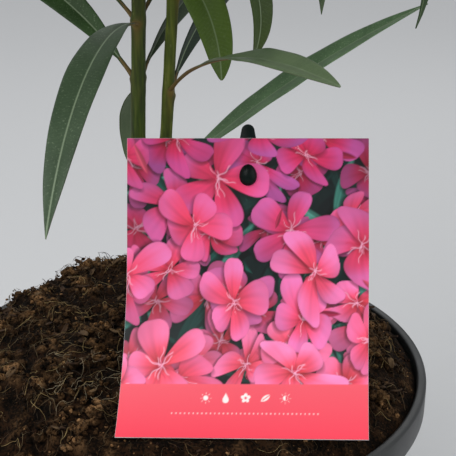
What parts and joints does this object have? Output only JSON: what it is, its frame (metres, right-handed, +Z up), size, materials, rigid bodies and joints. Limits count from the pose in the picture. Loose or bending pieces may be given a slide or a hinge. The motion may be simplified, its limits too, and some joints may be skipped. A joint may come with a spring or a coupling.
{
  "type": "potted oleander",
  "caption": "Young evergreen shrub with long narrow leaves on two forked stems, in a round nursery pot with a picture card on a peg.",
  "frame": {"origin": "centre of the pot's flat underside", "axes": "+Z up along the pot's axis, -Y towards the side that the card faces, +X to the right of someone who faces the card"},
  "size_m": [0.3879, 0.3704, 0.728],
  "materials": {
    "bark": "smooth green young bark, lightly flecked",
    "leaf": "leathery leaf, satin",
    "soil": "moist fibrous peat mix, matt",
    "pot": "satin moulded plastic",
    "card": "glossy printed plastic card",
    "peg": "satin moulded plastic"
  },
  "bodies": {
    "root": {"stem_left": "bark", "stem_right": "bark", "bough_left_front": "bark", "bough_left_back": "bark", "bough_left_leader": "bark", "bough_right_back": "bark", "bough_right_front": "bark", "bough_right_leader": "bark", "foliage_left_front": "leaf", "foliage_left_back": "leaf", "foliage_left_leader": "leaf", "foliage_right_back": "leaf", "foliage_right_front": "leaf", "foliage_right_leader": "leaf", "leaf_arching": "leaf", "leaf_slanting": "leaf", "leaf_rising": "leaf", "leaf_inner": "leaf", "leaf_outer": "leaf", "leaf_hanging": "leaf", "leaf_drooping": "leaf", "leaf_behind": "leaf", "leaf_front": "leaf", "leaf_high_outer": "leaf", "leaf_high_back": "leaf", "leaf_high_right": "leaf", "leaf_high_far": "leaf", "leaf_top_outer": "leaf", "leaf_top_back": "leaf", "leaf_top_right": "leaf", "soil": "soil", "pot": "pot", "card": "card", "peg": "peg"}
  },
  "joints": []
}
